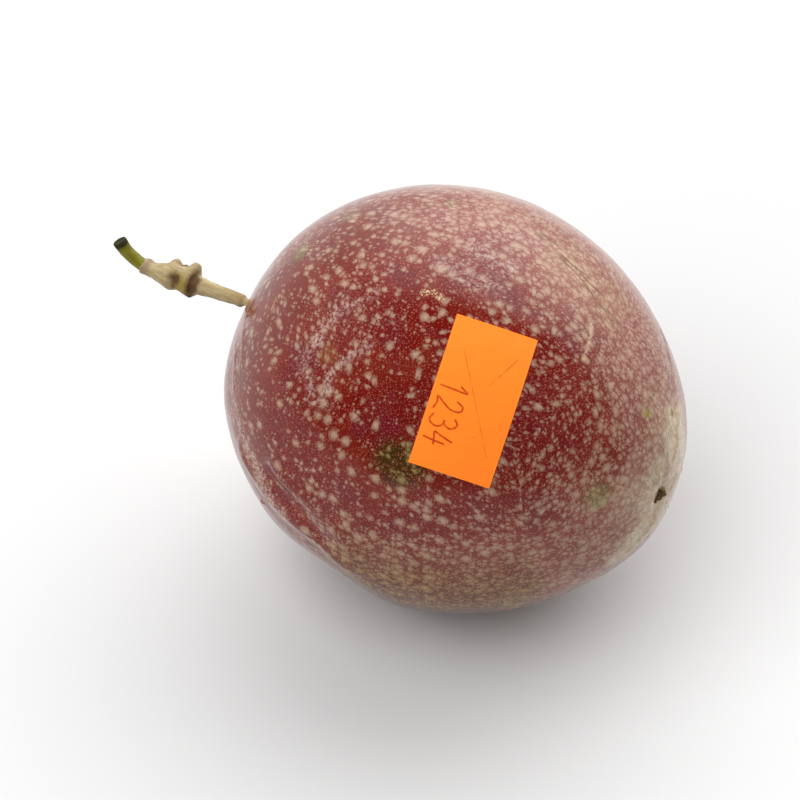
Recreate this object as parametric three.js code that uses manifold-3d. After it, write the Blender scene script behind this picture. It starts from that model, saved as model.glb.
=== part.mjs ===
// A ripe passion fruit lying on its side, with its dry stalk and a small price label.
// Millimetres. +X runs from the stalk end to the blossom end and +Z is up.
// The origin is on the flat spot that the fruit rests on, straight under its middle.

import * as THREE from 'three';
import { mergeVertices } from 'three/addons/utils/BufferGeometryUtils.js';
import Module from 'manifold-3d';

// ---------------------------------------------------------------- driving dimensions

// A place on the rind is given by two angles in degrees, as if the fruit were a ball: along, from the
// blossom end (0) to the stalk end (180), and around the long axis, from +Y (0) by way of +Z (90).
const FRUIT = {
  halfLength: 36.4,
  halfWidth: 32.15,
  slimmerEnd: 0.054, // how much slimmer than the middle the blossom end is, as a fraction
  fullness: 1.92, // exponent of the outline: 2 is an ellipse, and less is more pointed
  restCut: 1.0, // thickness that the flat spot takes off the underside
  segmentsAround: 72,
  segmentsAlong: 46,
};

// Swells and dents of the rind: rise is a fraction of the radius, spread is in degrees.
const SWELLS = [
  { name: 'side dent', along: 99, around: -148, rise: -0.038, spread: 12 },
  { name: 'upper flat', along: 38, around: 24, rise: -0.004, spread: 18 },
  { name: 'lower flat', along: 38, around: -122, rise: -0.01, spread: 14 },
  { name: 'shoulder flat', along: 156, around: 128, rise: -0.013, spread: 16 },
  { name: 'shoulder swell', along: 148, around: 178, rise: 0.011, spread: 14 },
  { name: 'blossom flat', along: 12, around: -36, rise: -0.01, spread: 14 },
  { name: 'belly swell', along: 80, around: -142, rise: 0.009, spread: 12 },
  { name: 'stalk hollow', along: 177.5, around: 90, rise: -0.016, spread: 5 },
  { name: 'blossom hollow', along: 5, around: 130, rise: -0.01, spread: 5 },
];

const STALK = {
  root: { along: 177.5, around: 90 }, // where it leaves the rind
  heading: [-1, -0.06, -0.063],
  bendStart: 19.6, // distance from the root at which it starts to curve upwards
  bendRadius: 6.7,
  segmentsAround: 18,
};

// Radius of the dry stalk at each distance from the root: neck, shank, knot and collar.
const DRY_PROFILE = [
  [0.3, 0.7],
  [2.4, 0.55],
  [3.5, 1.0],
  [8.0, 1.12],
  [11.2, 1.35],
  [13.0, 2.35],
  [14.9, 1.9],
  [16.6, 2.3],
  [18.4, 1.65],
  [19.8, 1.3],
  [21.3, 1.2],
];
const GREEN_PROFILE = [
  [21.6, 1.0],
  [24.5, 1.05],
  [27.5, 1.1],
];

// The two rows of blunt scars around the knot, where the bracts and the flower broke off.
const KNOT_ROWS = [
  { at: 13.0, halfLength: 1.0, scars: 3, turn: 20, height: 0.3 },
  { at: 16.6, halfLength: 1.1, scars: 3, turn: 75, height: 0.26 },
];

const STYLE_REMNANT = {
  place: { along: 5, around: 130 },
  halfLength: 1.1,
  halfWidth: 0.8,
  halfHeight: 0.6,
  clearance: 0.3,
};

const LABEL = {
  place: { along: 68.5, around: 127.4 },
  width: 12,
  length: 22,
  thickness: 0.15,
  turn: 7, // degrees from the fruit's long axis to the label's short side
  clearance: 0.2,
};

// ---------------------------------------------------------------- shared helpers

/** The unit vector from the middle of the ball towards a place on the rind. */
function directionTo({ along, around }) {
  const a = THREE.MathUtils.degToRad(along);
  const b = THREE.MathUtils.degToRad(around);
  return new THREE.Vector3(Math.cos(a), Math.sin(a) * Math.cos(b), Math.sin(a) * Math.sin(b));
}

/** The point of the rind in a direction from the middle of the fruit. */
function rindPoint(direction) {
  const { halfLength, halfWidth, slimmerEnd, fullness } = FRUIT;
  const offAxis = Math.hypot(direction.y, direction.z);
  let size = (Math.abs(direction.x) ** fullness + offAxis ** fullness) ** (-1 / fullness);
  for (const swell of SWELLS) {
    const gap = 2 - 2 * direction.dot(directionTo(swell));
    size *= 1 + swell.rise * Math.exp(-gap / THREE.MathUtils.degToRad(swell.spread) ** 2);
  }
  const width = halfWidth * (1 - slimmerEnd * direction.x);
  return new THREE.Vector3(halfLength, width, width).multiply(direction).multiplyScalar(size);
}

/** The direction whose rindPoint lies under a point near the rind. Places are not plain polar angles. */
function directionUnder(point) {
  const { halfLength, halfWidth, slimmerEnd } = FRUIT;
  const width = halfWidth * (1 - (slimmerEnd * point.x) / halfLength);
  return new THREE.Vector3(point.x / halfLength, point.y / width, point.z / width).normalize();
}

/** The outward normal of the rind in a direction from the middle of the fruit. */
function rindNormal(direction) {
  const step = 0.02;
  const sideways = new THREE.Vector3(0, 0, 1).cross(direction).normalize();
  const upwards = direction.clone().cross(sideways);
  const centre = rindPoint(direction);
  const beside = rindPoint(direction.clone().addScaledVector(sideways, step).normalize());
  const above = rindPoint(direction.clone().addScaledVector(upwards, step).normalize());
  return beside.sub(centre).cross(above.sub(centre)).normalize();
}

/** Moves each vertex by place(vertex), and joins the vertices that share a position. */
function warp(geometry, place) {
  const positions = geometry.getAttribute('position');
  const vertex = new THREE.Vector3();
  for (let i = 0; i < positions.count; i += 1) {
    const moved = place(vertex.fromBufferAttribute(positions, i));
    positions.setXYZ(i, moved.x, moved.y, moved.z);
  }
  geometry.deleteAttribute('normal');
  geometry.deleteAttribute('uv');
  const merged = mergeVertices(geometry, 1e-4);
  merged.computeVertexNormals();
  return merged;
}

/** A named mesh with its own material. */
function part(name, geometry, color, roughness) {
  const material = new THREE.MeshStandardMaterial({ color, roughness, metalness: 0 });
  const mesh = new THREE.Mesh(geometry, material);
  mesh.name = name;
  return mesh;
}

// ---------------------------------------------------------------- solid operations

const wasm = await Module();
wasm.setup();

/** A closed solid from a geometry whose shared vertices are merged. */
function toSolid(geometry) {
  const vertProperties = new Float32Array(geometry.getAttribute('position').array);
  const triVerts = new Uint32Array(geometry.index.array);
  return new wasm.Manifold(new wasm.Mesh({ numProp: 3, vertProperties, triVerts }));
}

/** The geometry of a solid. */
function toGeometry(solid) {
  const mesh = solid.getMesh();
  const geometry = new THREE.BufferGeometry();
  geometry.setAttribute('position', new THREE.BufferAttribute(mesh.vertProperties, 3));
  geometry.setIndex(new THREE.BufferAttribute(mesh.triVerts, 1));
  geometry.computeVertexNormals();
  return geometry;
}

// ---------------------------------------------------------------- the fruit

/** The height of the rind's lowest point, under the middle of the fruit. */
function lowestPoint() {
  const steps = 200;
  let lowest = 0;
  for (let i = 0; i < steps; i += 1) {
    lowest = Math.min(lowest, rindPoint(directionTo({ along: (180 * i) / steps, around: -90 })).z);
  }
  return lowest;
}

const REST_HEIGHT = lowestPoint() + FRUIT.restCut; // of the flat spot, below the middle

/** The whole fruit as one body, its underside cut to a small flat spot. */
function fruitGeometry() {
  const sphere = new THREE.SphereGeometry(1, FRUIT.segmentsAround, FRUIT.segmentsAlong);
  sphere.rotateZ(-Math.PI / 2);
  const body = warp(sphere, (vertex) => rindPoint(vertex.clone().normalize()));
  const { halfLength, halfWidth } = FRUIT;
  const block = new THREE.BoxGeometry(2 * halfLength, 2 * halfWidth, halfWidth);
  const underside = warp(block, (vertex) => vertex.setZ(vertex.z + REST_HEIGHT - halfWidth / 2));
  return toGeometry(toSolid(body).subtract(toSolid(underside)));
}

// ---------------------------------------------------------------- the stalk

const stalkRoot = rindPoint(directionTo(STALK.root));
const stalkHeading = new THREE.Vector3(...STALK.heading).normalize();
const stalkSide = stalkHeading.clone().cross(new THREE.Vector3(0, 0, 1)).normalize();
const stalkLift = stalkSide.clone().cross(stalkHeading);

/** The stalk's centre at a distance from the root, and its upward direction there. */
function stalkAt(distance) {
  const { bendStart, bendRadius } = STALK;
  const turn = Math.max(0, distance - bendStart) / bendRadius;
  const forward = Math.min(distance, bendStart) + bendRadius * Math.sin(turn);
  const rise = bendRadius * (1 - Math.cos(turn));
  const centre = stalkRoot.clone()
    .addScaledVector(stalkHeading, forward)
    .addScaledVector(stalkLift, rise);
  const up = stalkLift.clone()
    .multiplyScalar(Math.cos(turn))
    .addScaledVector(stalkHeading, -Math.sin(turn));
  return { centre, up };
}

/** How far the blunt scars of the knot stand out at a distance and an angle around. */
function knotRelief(distance, angle) {
  let relief = 0;
  for (const row of KNOT_ROWS) {
    const fade = Math.exp(-(((distance - row.at) / row.halfLength) ** 2));
    const turn = THREE.MathUtils.degToRad(row.turn);
    relief += row.height * fade * Math.cos(row.scars * (angle - turn));
  }
  return relief;
}

/** A closed length of stalk that follows a profile of [distance, radius] stations. */
function stalkGeometry(profile, steps) {
  const outline = new THREE.SplineCurve(profile.map(([s, r]) => new THREE.Vector2(s, r)));
  const tube = new THREE.CylinderGeometry(1, 1, 1, STALK.segmentsAround, steps);
  return warp(tube, (vertex) => {
    const station = outline.getPoint(vertex.y + 0.5);
    const { centre, up } = stalkAt(station.x);
    const radius = station.y + knotRelief(station.x, Math.atan2(vertex.x, vertex.z));
    centre.addScaledVector(stalkSide, vertex.x * radius);
    return centre.addScaledVector(up, vertex.z * radius);
  });
}

// ---------------------------------------------------------------- the blossom end

/** The dry end of the style, a small nub that stands in the hollow at the blossom end. */
function styleRemnantGeometry() {
  const { place, halfLength, halfWidth, halfHeight, clearance } = STYLE_REMNANT;
  const direction = directionTo(place);
  const normal = rindNormal(direction);
  const middle = rindPoint(direction).addScaledVector(normal, halfHeight + clearance);
  const longWay = new THREE.Vector3(0, 0, 1).cross(normal).normalize();
  const shortWay = normal.clone().cross(longWay);
  return warp(new THREE.SphereGeometry(1, 14, 10), (vertex) => middle.clone()
    .addScaledVector(longWay, vertex.x * halfWidth)
    .addScaledVector(shortWay, vertex.y * halfLength)
    .addScaledVector(normal, vertex.z * halfHeight));
}

// ---------------------------------------------------------------- the label

/** A thin paper rectangle that bends with the rind. */
function labelGeometry() {
  const { place, width, length, thickness, turn, clearance } = LABEL;
  const direction = directionTo(place);
  const middle = rindPoint(direction);
  const normal = rindNormal(direction);
  const across = new THREE.Vector3(1, 0, 0).projectOnPlane(normal).normalize();
  across.applyAxisAngle(normal, THREE.MathUtils.degToRad(turn));
  const down = across.clone().cross(normal);
  const sheet = new THREE.BoxGeometry(width, length, thickness, 8, 14, 1);
  return warp(sheet, (vertex) => {
    const sag = (vertex.x ** 2 + vertex.y ** 2) / (2 * FRUIT.halfWidth);
    const target = middle.clone()
      .addScaledVector(across, vertex.x)
      .addScaledVector(down, -vertex.y)
      .addScaledVector(normal, -sag);
    const under = directionUnder(target);
    const height = clearance + thickness / 2 + vertex.z;
    return rindPoint(under).addScaledVector(rindNormal(under), height);
  });
}

// ---------------------------------------------------------------- the whole part

const passionFruit = new THREE.Group();
passionFruit.add(
  part('fruit', fruitGeometry(), '#7d2f31', 0.3),
  part('dry_stalk', stalkGeometry(DRY_PROFILE, 44), '#b5a473', 0.8),
  part('green_stalk', stalkGeometry(GREEN_PROFILE, 10), '#7a7d22', 0.6),
  part('style_remnant', styleRemnantGeometry(), '#5b4a26', 0.85),
  part('price_label', labelGeometry(), '#ff8d2b', 0.7),
);
passionFruit.position.z = -REST_HEIGHT;

export default passionFruit;
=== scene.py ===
"""A ripe passion fruit lying on its side, with its stalk and a price label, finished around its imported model.

Everything is in metres in the model's own frame: +X runs from the stalk end to the blossom end, +Z is up, and
the origin is on the flat spot that the fruit rests on. Sizes in the classes are in millimetres.
"""

import logging
import math
from contextlib import contextmanager
from dataclasses import dataclass
from enum import Enum
from typing import Any, Callable, Iterator, Sequence

import bpy
import numpy as np
from mathutils import Matrix, Vector
from mathutils.bvhtree import BVHTree


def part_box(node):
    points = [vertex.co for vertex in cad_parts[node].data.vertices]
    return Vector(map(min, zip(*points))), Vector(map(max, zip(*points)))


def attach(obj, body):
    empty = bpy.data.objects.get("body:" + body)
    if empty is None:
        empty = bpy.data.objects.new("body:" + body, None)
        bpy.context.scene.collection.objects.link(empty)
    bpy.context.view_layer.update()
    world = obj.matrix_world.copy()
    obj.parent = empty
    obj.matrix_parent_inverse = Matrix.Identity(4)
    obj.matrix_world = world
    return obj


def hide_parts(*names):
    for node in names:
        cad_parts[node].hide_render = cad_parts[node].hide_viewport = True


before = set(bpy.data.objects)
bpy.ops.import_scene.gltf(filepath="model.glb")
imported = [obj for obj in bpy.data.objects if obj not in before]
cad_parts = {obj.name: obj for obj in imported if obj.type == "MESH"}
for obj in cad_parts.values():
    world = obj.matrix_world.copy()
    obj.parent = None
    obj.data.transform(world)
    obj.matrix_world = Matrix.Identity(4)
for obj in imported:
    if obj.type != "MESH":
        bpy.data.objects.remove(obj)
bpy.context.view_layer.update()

log = logging.getLogger("passion_fruit")

MM = 0.001
BODY = "root"
LEAST_PUSH = 1e-7  # in metres: a surface that moves less than this stays as it is
LEAST_SHARE = 1e-3  # of the largest push: a vertex that moves less than this stays where it is
PATH_STEPS = 10  # points from one stop to the next of a line on the rind
END_FADE = 2.2  # how soon such a line is at its full strength, seen from its ends
POINT_SCATTER = 0.92  # how irregularly the points of a pattern lie, from 0 to 1
FAINTEST = 0.6  # how strong the smallest spots are, as a share of the largest
FAR_AWAY = 99.0  # in millimetres: farther than anything on the label
TINY = 1e-9  # stands in for the squared length of a line that has none

Triple = tuple[float, float, float]
Pair = tuple[float, float]
Colour = Triple
Socket = bpy.types.NodeSocket
Object = bpy.types.Object
Material = bpy.types.Material


# ---- modelling by operators ----


def deselect() -> None:
    """Leaves nothing selected, in object mode."""
    if bpy.context.object is not None and bpy.context.object.mode != "OBJECT":
        bpy.ops.object.mode_set(mode="OBJECT")
    bpy.ops.object.select_all(action="DESELECT")


def pick(piece: Object) -> None:
    """Makes one object the only selected and the active one."""
    deselect()
    piece.select_set(True)
    bpy.context.view_layer.objects.active = piece


def start(name: str, add: Callable[..., Any], **sizes: Any) -> Object:
    """Adds a primitive with one of Blender's operators.

    Args:
        name: the new piece's name.
        add: the operator, such as bpy.ops.mesh.primitive_grid_add.
        sizes: the operator's own settings.

    Returns:
        The new object, selected and active.
    """
    deselect()
    add(**sizes)
    piece = bpy.context.object
    piece.name = name
    piece.data.name = name
    return piece


def modify(piece: Object, kind: str, **settings: Any) -> None:
    """Adds a modifier of a kind with its settings, and applies it."""
    pick(piece)
    modifier = piece.modifiers.new(kind.title(), kind)
    for name, value in settings.items():
        setattr(modifier, name, value)
    bpy.ops.object.modifier_apply(modifier=modifier.name)


def settle(piece: Object) -> None:
    """Moves an object's place, turn and scale into its mesh."""
    pick(piece)
    bpy.ops.object.transform_apply(location=True, rotation=True, scale=True)


def remove(piece: Object) -> None:
    """Deletes a helper object and its mesh."""
    mesh = piece.data
    bpy.data.objects.remove(piece)
    bpy.data.meshes.remove(mesh)


def points(piece: Object) -> np.ndarray:
    """Returns a mesh's vertices as an array of rows."""
    flat = np.empty(len(piece.data.vertices) * 3)
    piece.data.vertices.foreach_get("co", flat)
    return flat.reshape(-1, 3)


def push(piece: Object, name: str, heights: np.ndarray, direction: str = "NORMAL") -> None:
    """Moves a surface by a height at each vertex.

    Args:
        piece: the object to shape.
        name: a name for the vertex groups that hold the heights meanwhile.
        heights: how far each vertex moves, in metres.
        direction: along the surface's normal, or along one of the axes.
    """
    for sign, side in ((1, "out"), (-1, "in")):
        parts = np.clip(sign * heights, 0, None)
        reach = float(parts.max())
        if reach < LEAST_PUSH:
            continue
        label = f"{name}_{side}"
        group = piece.vertex_groups.new(name=label)
        for index in np.flatnonzero(parts > reach * LEAST_SHARE):
            group.add([int(index)], float(parts[index] / reach), "REPLACE")
        settings = {"vertex_group": label, "strength": sign * reach, "mid_level": 0.0}
        modify(piece, "DISPLACE", direction=direction, **settings)
        piece.vertex_groups.remove(piece.vertex_groups[label])


def note(piece: Object, name: str, values: np.ndarray) -> None:
    """Stores a number per vertex, which a material reads by its name."""
    attribute = piece.data.attributes.new(name, "FLOAT", "POINT")
    attribute.data.foreach_set("value", values.astype(np.float32))


def note_kinds(piece: Object, marks: Sequence[tuple[Enum, Any]], most: float, *places: np.ndarray) -> None:
    """Stores how strong each kind of mark is at each vertex.

    Args:
        piece: the object that carries the marks.
        marks: the marks, each as (kind, mark).
        most: the most that the marks of one kind may add up to.
        places: where the vertices lie, as a mark's strength takes it.
    """
    for kind in type(marks[0][0]):
        amount = sum(mark.strength(*places) for each, mark in marks if each is kind)
        note(piece, kind.value, np.clip(amount, 0, most))


def smooth(piece: Object, passes: int, **settings: Any) -> None:
    """Evens out a surface by some passes."""
    modify(piece, "SMOOTH", factor=0.5, iterations=passes, **settings)


def swung(first: Vector, second: Vector, turn: float) -> Vector:
    """Returns the direction at an angle in radians from the first of two crossed directions to the second."""
    return first * math.cos(turn) + second * math.sin(turn)


@dataclass(frozen=True)
class Grain:
    """Soft procedural lumps that roughen a surface.

    Attributes:
        size: size of the lumps, in millimetres.
        height: how far they move the surface, in millimetres, from the lowest to the highest.
        depth: how many finer layers the lumps have.
    """

    size: float
    height: float
    depth: int = 2

    def roughen(self, piece: Object) -> None:
        """Moves a piece's surface by the lumps."""
        clouds = bpy.data.textures.new(f"{piece.name}_clouds", "CLOUDS")
        clouds.noise_scale = self.size * MM
        clouds.noise_depth = self.depth
        settings = {"texture": clouds, "texture_coords": "LOCAL", "mid_level": 0.5}
        modify(piece, "DISPLACE", strength=self.height * MM, **settings)
        bpy.data.textures.remove(clouds)


@contextmanager
def editing(piece: Object) -> Iterator[None]:
    """Opens a piece in edit mode with all of it selected, and closes it again."""
    pick(piece)
    bpy.ops.object.mode_set(mode="EDIT")
    bpy.ops.mesh.select_all(action="SELECT")
    yield
    bpy.ops.object.mode_set(mode="OBJECT")


def outward(piece: Object) -> None:
    """Turns all of a closed piece's faces outwards."""
    with editing(piece):
        bpy.ops.mesh.normals_make_consistent(inside=False)


def hand_over(piece: Object, material: Material, slot: str, *nodes: str) -> None:
    """Puts a shaped piece in the place of its CAD nodes.

    Args:
        piece: the object.
        material: its one material.
        slot: the name of the material's slot; not used.
        nodes: the CAD nodes that it stands for.
    """
    piece.data.materials.clear()
    piece.data.materials.append(material)
    pick(piece)
    bpy.ops.object.shade_smooth()
    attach(piece, BODY)
    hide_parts(*nodes)
    log.info("%s: %d faces, stands for %s", piece.name, len(piece.data.polygons), ", ".join(nodes))


# ---- node graphs ----


class Graph:
    """The node tree of a material or of the world, with one short call for each kind of node."""

    def __init__(self, owner: Any) -> None:
        """Empties the owner's node tree.

        Args:
            owner: the material or the world.
        """
        owner.use_nodes = True
        self.owner = owner
        self.tree = owner.node_tree
        self.tree.nodes.clear()

    @classmethod
    def of_material(cls, name: str) -> "Graph":
        """Starts an empty material of this name."""
        return cls(bpy.data.materials.new(name))

    def node(self, kind: str, inputs: dict[Any, Any], **settings: Any) -> bpy.types.Node:
        """Adds a node.

        Args:
            kind: the node's type, without the leading "ShaderNode".
            inputs: a value or a socket for each input, by name or number.
            settings: the node's own properties.

        Returns:
            The new node.
        """
        made = self.tree.nodes.new("ShaderNode" + kind)
        for name, value in settings.items():
            setattr(made, name, value)
        for key, value in inputs.items():
            target = made.inputs[key]
            if isinstance(value, Socket):
                self.tree.links.new(value, target)
            elif target.type == "RGBA":
                target.default_value = (*value, 1.0)
            else:
                target.default_value = value
        return made

    def millimetres(self) -> Socket:
        """Returns the place on the object in millimetres."""
        raw = self.node("TexCoord", {}).outputs["Object"]
        return self.node("VectorMath", {0: raw, "Scale": 1 / MM}, operation="SCALE").outputs[0]

    def attribute(self, name: str) -> Socket:
        """Returns a number stored on the mesh."""
        return self.node("Attribute", {}, attribute_name=name).outputs["Fac"]

    def math(self, operation: str, a: Any, b: Any = 0.0) -> Socket:
        """Returns the result of an operation on two numbers."""
        return self.node("Math", {0: a, 1: b}, operation=operation).outputs[0]

    def vectors(self, operation: str, a: Any, b: Any = (0.0, 0.0, 0.0)) -> Socket:
        """Returns the result of an operation on two vectors."""
        return self.node("VectorMath", {0: a, 1: b}, operation=operation).outputs[0]

    def vector(self, *numbers: Any) -> Socket:
        """Returns a vector made of up to three numbers."""
        return self.node("CombineXYZ", dict(enumerate(numbers))).outputs[0]

    def cosine(self, direction: Socket, axis: Vector) -> Socket:
        """Returns the cosine of the angle between a direction and an axis."""
        return self.node("VectorMath", {0: direction, 1: axis}, operation="DOT_PRODUCT").outputs["Value"]

    def times(self, *factors: Any) -> Socket:
        """Returns the product of some numbers."""
        total = factors[0]
        for factor in factors[1:]:
            total = self.math("MULTIPLY", total, factor)
        return total

    def blend(self, base: float, *terms: tuple[float, Any]) -> Socket:
        """Returns a base plus the weighted sum of some numbers, each given as (weight, number)."""
        total: Any = base
        for weight, number in terms:
            total = self.node("Math", {0: number, 1: weight, 2: total}, operation="MULTIPLY_ADD").outputs[0]
        return total

    def ragged(self, value: Any, noise: Any, share: float) -> Socket:
        """Returns a number with noise added about 0, so that its edges break up."""
        return self.blend(-share / 2, (1.0, value), (share, noise))

    def ease(self, value: Any, low: float, high: float, start_at: float = 0.0, end_at: float = 1.0) -> Socket:
        """Returns a value eased from start_at, where it is low, to end_at, where it is high."""
        inputs = {"Value": value, "From Min": low, "From Max": high, "To Min": start_at, "To Max": end_at}
        return self.node("MapRange", inputs, interpolation_type="SMOOTHSTEP").outputs[0]

    def noise(self, vector: Socket, size: float, detail: float = 2.0, roughness: float = 0.5) -> Socket:
        """Returns soft noise from 0 to 1 with lumps of a size in the vector's own unit."""
        inputs = {"Vector": vector, "Scale": 1 / size, "Detail": detail, "Roughness": roughness}
        return self.node("TexNoise", inputs).outputs["Fac"]

    def shifted(self, vector: Socket, amount: float) -> Socket:
        """Returns the vector moved by the same amount along each axis, for a pattern that differs."""
        return self.vectors("ADD", vector, (amount,) * 3)

    def stretched(self, vector: Socket, scale: Triple) -> Socket:
        """Returns the vector scaled along each axis."""
        return self.vectors("MULTIPLY", vector, scale)

    def stirred(self, vector: Socket, size: float, reach: float) -> Socket:
        """Returns the vector pushed about by noise of a size, as far as a reach."""
        swirl = self.node("TexNoise", {"Vector": vector, "Scale": 1 / size, "Detail": 1.0}).outputs["Color"]
        centred = self.vectors("SUBTRACT", swirl, (0.5,) * 3)
        inputs = {0: centred, 1: (reach * 2,) * 3, 2: vector}
        return self.node("VectorMath", inputs, operation="MULTIPLY_ADD").outputs[0]

    def voronoi(self, vector: Socket, size: float, feature: str = "F1") -> bpy.types.Node:
        """Adds points scattered a size apart over the vector's first two directions."""
        inputs = {"Vector": vector, "Scale": 1 / size, "Randomness": POINT_SCATTER}
        return self.node("TexVoronoi", inputs, voronoi_dimensions="2D", feature=feature)

    def cells(self, vector: Socket, size: float) -> tuple[Socket, Socket, Socket]:
        """Scatters points a size apart over the vector's first two directions.

        Returns:
            The distance to the nearest point, in the vector's unit, and two random numbers of that point.
        """
        made = self.voronoi(vector, size)
        parts = self.node("SeparateColor", {0: made.outputs["Color"]})
        return self.math("MULTIPLY", made.outputs["Distance"], size), parts.outputs[0], parts.outputs[1]

    def borders(self, vector: Socket, size: float) -> Socket:
        """Returns the distance to the nearest border between the same scattered points."""
        made = self.voronoi(vector, size, "DISTANCE_TO_EDGE")
        return self.math("MULTIPLY", made.outputs["Distance"], size)

    def parts(self, vector: Socket) -> tuple[Socket, Socket, Socket]:
        """Returns a vector's three numbers."""
        made = self.node("SeparateXYZ", {0: vector})
        return made.outputs[0], made.outputs[1], made.outputs[2]

    def by_axis(self, on_x: Socket, on_y: Socket, *choices: Socket) -> Socket:
        """Returns the first of three vectors, or the second where on_y is 1, or the third where on_x is."""
        chosen, second, third = choices
        for factor, other in ((on_y, second), (on_x, third)):
            chosen = self.node("Mix", {"Factor": factor, 4: chosen, 5: other}, data_type="VECTOR").outputs[1]
        return chosen

    def mix(self, factor: Any, a: Any, b: Any) -> Socket:
        """Returns colour a where the factor is 0 and colour b where it is 1."""
        return self.node("Mix", {"Factor": factor, 6: a, 7: b}, data_type="RGBA").outputs[2]

    def bump(self, height: Socket, distance: float) -> Socket:
        """Returns a normal tilted by a height from 0 to 1 that stands for a distance in millimetres."""
        return self.node("Bump", {"Height": height, "Distance": distance * MM, "Strength": 1.0}).outputs[0]

    def surface(self, **inputs: Any) -> Material:
        """Ends the graph in one surface.

        Args:
            inputs: the shader's inputs, with underscores for spaces.

        Returns:
            The finished material.
        """
        named = {key.replace("_", " "): value for key, value in inputs.items()}
        shader = self.node("BsdfPrincipled", named)
        self.node("OutputMaterial", {0: shader.outputs[0]})
        return self.owner


@dataclass(frozen=True)
class Layer:
    """One layer of soft noise, in millimetres.

    Attributes:
        offset: how far its pattern is moved along each axis, so that it differs from the others.
        size: the size of its lumps.
        detail: how many finer layers it has.
        roughness: how strong these finer layers are.
    """

    offset: float
    size: float
    detail: float = 2.0
    roughness: float = 0.5

    def lay(self, g: Graph, place: Socket) -> Socket:
        """Returns the layer's value from 0 to 1 at a place."""
        moved = g.shifted(place, self.offset) if self.offset else place
        return g.noise(moved, self.size, self.detail, self.roughness)


# ---- places on the rind ----


@dataclass(frozen=True)
class Place:
    """A place on the rind, by two angles in degrees, as if the fruit were a ball.

    Attributes:
        along: angle from the blossom end, 0, to the stalk end, 180.
        around: angle about the long axis, from +Y, 0, by way of +Z, 90.
    """

    along: float
    around: float

    def direction(self) -> Vector:
        """Returns the unit vector from the ball's middle towards the place."""
        a, b = math.radians(self.along), math.radians(self.around)
        return Vector((math.cos(a), math.sin(a) * math.cos(b), math.sin(a) * math.sin(b)))


def smooth_path(stops: Sequence[Vector], steps: int) -> np.ndarray:
    """Returns points on a smooth line through some stops.

    Args:
        stops: the points to pass through, one or more.
        steps: how many points lie between two stops.

    Returns:
        The points as rows.
    """
    ends = [stops[0], *stops, stops[-1]]
    rows = []
    for a, b, c, d in zip(ends, ends[1:], ends[2:], ends[3:]):
        for t in np.linspace(0, 1, steps, endpoint=False):
            bend = (2 * a - 5 * b + 4 * c - d) * t**2 + (3 * b - 3 * c + d - a) * t**3
            rows.append(0.5 * (2 * b + (c - a) * t + bend))
    rows.append(stops[-1])
    return np.array([list(row) for row in rows])


@dataclass(frozen=True)
class Trace:
    """Something that lies round a place on the rind, or along a line over it.

    Attributes:
        stops: the places that it passes, in order.
        width: its half width in millimetres.
        amount: how strong it is, or how high in millimetres.
    """

    stops: tuple[Place, ...]
    width: float
    amount: float

    def strength(self, units: np.ndarray, radii: np.ndarray) -> np.ndarray:
        """Returns how strong the trace is at some points, with a line's ends faded out.

        Args:
            units: the points' directions on the ball.
            radii: their distances from the fruit's middle, in metres.

        Returns:
            A number for each point.
        """
        path = smooth_path([stop.direction() for stop in self.stops], PATH_STEPS)
        path /= np.linalg.norm(path, axis=1, keepdims=True)
        cosines = units @ path.T
        gaps = np.arccos(np.clip(cosines.max(axis=1), -1, 1)) * radii / MM
        fade: Any = 1.0
        if len(self.stops) > 1:
            share = (cosines.argmax(axis=1) + 0.5) / len(path)
            fade = np.clip(np.sin(np.pi * share) * END_FADE, 0, 1)
        return self.amount * fade * np.exp(-((gaps / self.width) ** 2))


def line(width: float, amount: float, *angles: Pair) -> Trace:
    """Returns a trace through places given as (along, around)."""
    return Trace(tuple(Place(*pair) for pair in angles), width, amount)


# lines at the blossom end that are both a fold and a tone, as (along, around)
SCAR_VALLEY = ((11, 84), (9, 97), (7, 108), (5, 134), (6, 171), (7, -150))
SCAR_RIDGE = ((15, 96), (12, 108), (10, 118), (10, 140), (9, 165), (10, -160))
SIDE_RIDGE = ((26, 46), (20, 53), (15, 55), (10, 72), (9, 96))


@dataclass(frozen=True)
class RindShape:
    """The fruit's middle and half sizes in metres, by which its rind is mapped to a ball."""

    middle: Vector
    half_length: float
    half_width: float
    slimmer_end: float = 0.054

    @classmethod
    def measured(cls) -> "RindShape":
        """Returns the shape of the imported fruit."""
        low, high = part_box("fruit")
        half_width = (high.y - low.y) / 2
        middle = Vector((0.0, (low.y + high.y) / 2, high.z - half_width))
        return cls(middle, max(high.x, -low.x), half_width)

    def to_ball(self, places: np.ndarray) -> tuple[np.ndarray, np.ndarray]:
        """Returns the directions on the ball of some points, and the points' distances from the middle."""
        arms = places - np.array(self.middle)
        units = arms / np.array([self.half_length, self.half_width, self.half_width])
        units[:, 1:] /= (1 - self.slimmer_end * units[:, 0])[:, None]
        return units / np.linalg.norm(units, axis=1, keepdims=True), np.linalg.norm(arms, axis=1)

    def ray(self, place: Place) -> Vector:
        """Returns the real direction from the middle towards a place."""
        unit = place.direction()
        width = self.half_width * (1 - self.slimmer_end * unit.x)
        return Vector((unit.x * self.half_length, unit.y * width, unit.z * width)).normalized()

    def find(self, rind: Object, place: Place) -> tuple[Vector, Vector]:
        """Returns the point of the finished rind at a place, and the direction out of the rind there."""
        surface = BVHTree.FromObject(rind, bpy.context.evaluated_depsgraph_get())
        return surface.ray_cast(self.middle, self.ray(place))[:2]


# ---- the rind's finish ----


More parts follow.
